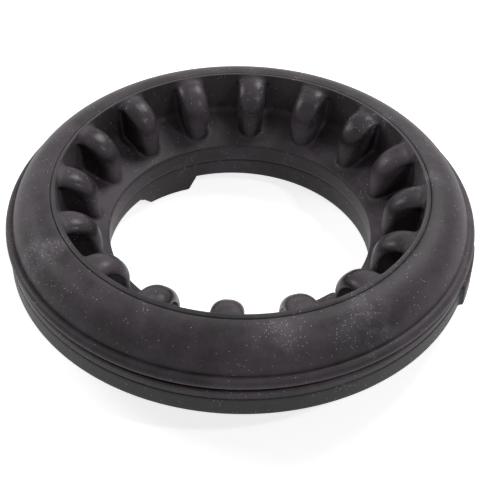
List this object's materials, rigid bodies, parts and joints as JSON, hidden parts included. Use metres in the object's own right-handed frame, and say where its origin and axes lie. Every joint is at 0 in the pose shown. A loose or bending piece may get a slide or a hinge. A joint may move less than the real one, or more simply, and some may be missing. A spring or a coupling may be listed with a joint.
{
  "type": "coil spring insulator",
  "caption": "Moulded rubber ring between a coil spring and its seat: domed crown, ribbed inner pockets, flat seating face, centring collar with a tab.",
  "frame": {"origin": "on the ring's axis, in the flat seating face around the collar", "axes": "+Z along the ring's axis, from the seating face to the crown; +X towards the side where the collar's rim hangs lowest"},
  "size_m": [0.164, 0.164, 0.0408],
  "materials": {
    "rubber": "matt moulded rubber with a faint grey bloom"
  },
  "bodies": {
    "root": {"spring_insulator": "rubber"}
  },
  "joints": []
}
